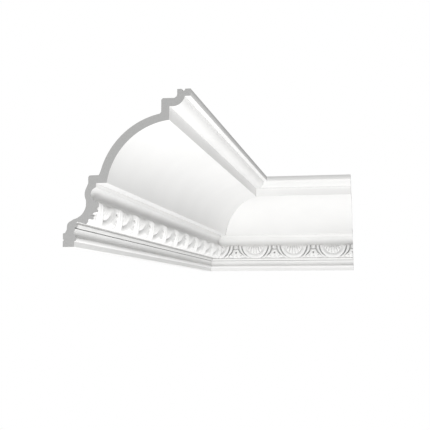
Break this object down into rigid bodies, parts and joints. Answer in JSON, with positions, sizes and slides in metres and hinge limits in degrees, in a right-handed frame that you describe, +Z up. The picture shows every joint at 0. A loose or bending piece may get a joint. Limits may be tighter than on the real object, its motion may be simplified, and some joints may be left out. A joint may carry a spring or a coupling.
{
  "type": "ornamental cornice",
  "caption": "Moulded inside-corner cornice with a deep cove, a scotia and a carved band of fluted shells and darts, mitred at the room corner.",
  "frame": {"origin": "centre of the bounding box at the foot of the moulding", "axes": "+Z up to the ceiling, +Y towards the back wall, +X away from the left wall"},
  "size_m": [0.2952, 0.8264, 0.17],
  "materials": {
    "primed_face": "smooth matt white primer on moulded polyurethane, raw grey-white foam at the cut ends"
  },
  "bodies": {
    "root": {"left_length": "primed_face", "right_length": "primed_face"}
  },
  "joints": []
}
